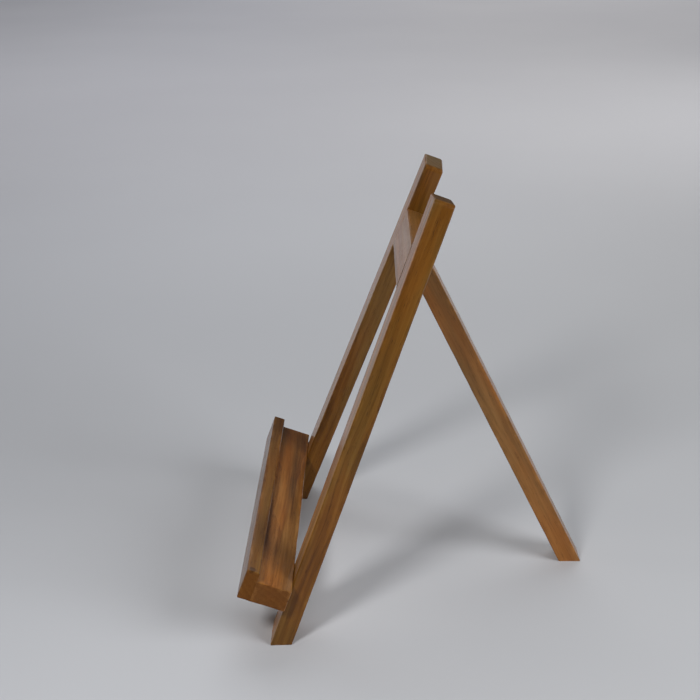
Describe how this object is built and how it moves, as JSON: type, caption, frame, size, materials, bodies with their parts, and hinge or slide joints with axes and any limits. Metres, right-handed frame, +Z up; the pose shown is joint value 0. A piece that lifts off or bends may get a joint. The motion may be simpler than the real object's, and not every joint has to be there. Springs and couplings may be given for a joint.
{
  "type": "folding table easel",
  "caption": "Small wooden table easel that displays a plaque: splayed rails, crossbar, lipped ledge and a hinged rear leg that folds flat.",
  "frame": {"origin": "on the surface the easel stands on, at the middle of its footprint when open", "axes": "+Z up, +X to the right seen from the front, +Y back towards the rear leg; the plaque faces -Y"},
  "size_m": [0.202, 0.2121, 0.2543],
  "materials": {
    "rail_wood": "thin satin varnish on medium brown hardwood",
    "crossbar_wood": "thin satin varnish on medium brown hardwood",
    "ledge_wood": "thin satin varnish on darker, streaked brown hardwood",
    "leg_wood": "thin satin varnish on medium brown hardwood",
    "dowel_wood": "plain pale beech, hidden in the joints",
    "hinge_brass": "pressed sheet brass, slightly dulled",
    "hinge_steel": "drawn wire, peened ends",
    "screw_brass": "turned brass",
    "zinc_steel": "zinc plated",
    "dark_steel": "bare steel darkened by the varnish"
  },
  "bodies": {
    "frame": {"left_rail": "rail_wood", "right_rail": "rail_wood", "crossbar": "crossbar_wood", "ledge_board": "ledge_wood", "ledge_lip": "ledge_wood", "left_crossbar_dowels": "dowel_wood", "right_crossbar_dowels": "dowel_wood", "left_ledge_screw": "zinc_steel", "right_ledge_screw": "zinc_steel", "lip_brads": "dark_steel", "hinge_frame_leaf": "hinge_brass", "hinge_pin": "hinge_steel", "hinge_frame_screws": "screw_brass"},
    "leg": {"rear_leg": "leg_wood", "hinge_leg_leaf": "hinge_brass", "hinge_leg_screws": "screw_brass"}
  },
  "joints": [
    {"name": "leg_fold", "type": "hinge", "parent": "frame", "child": "leg", "pos_m": [0, -0.00348, 0.1932], "axis": [-1, 0, 0], "range_deg": [0, 50.4]}
  ]
}
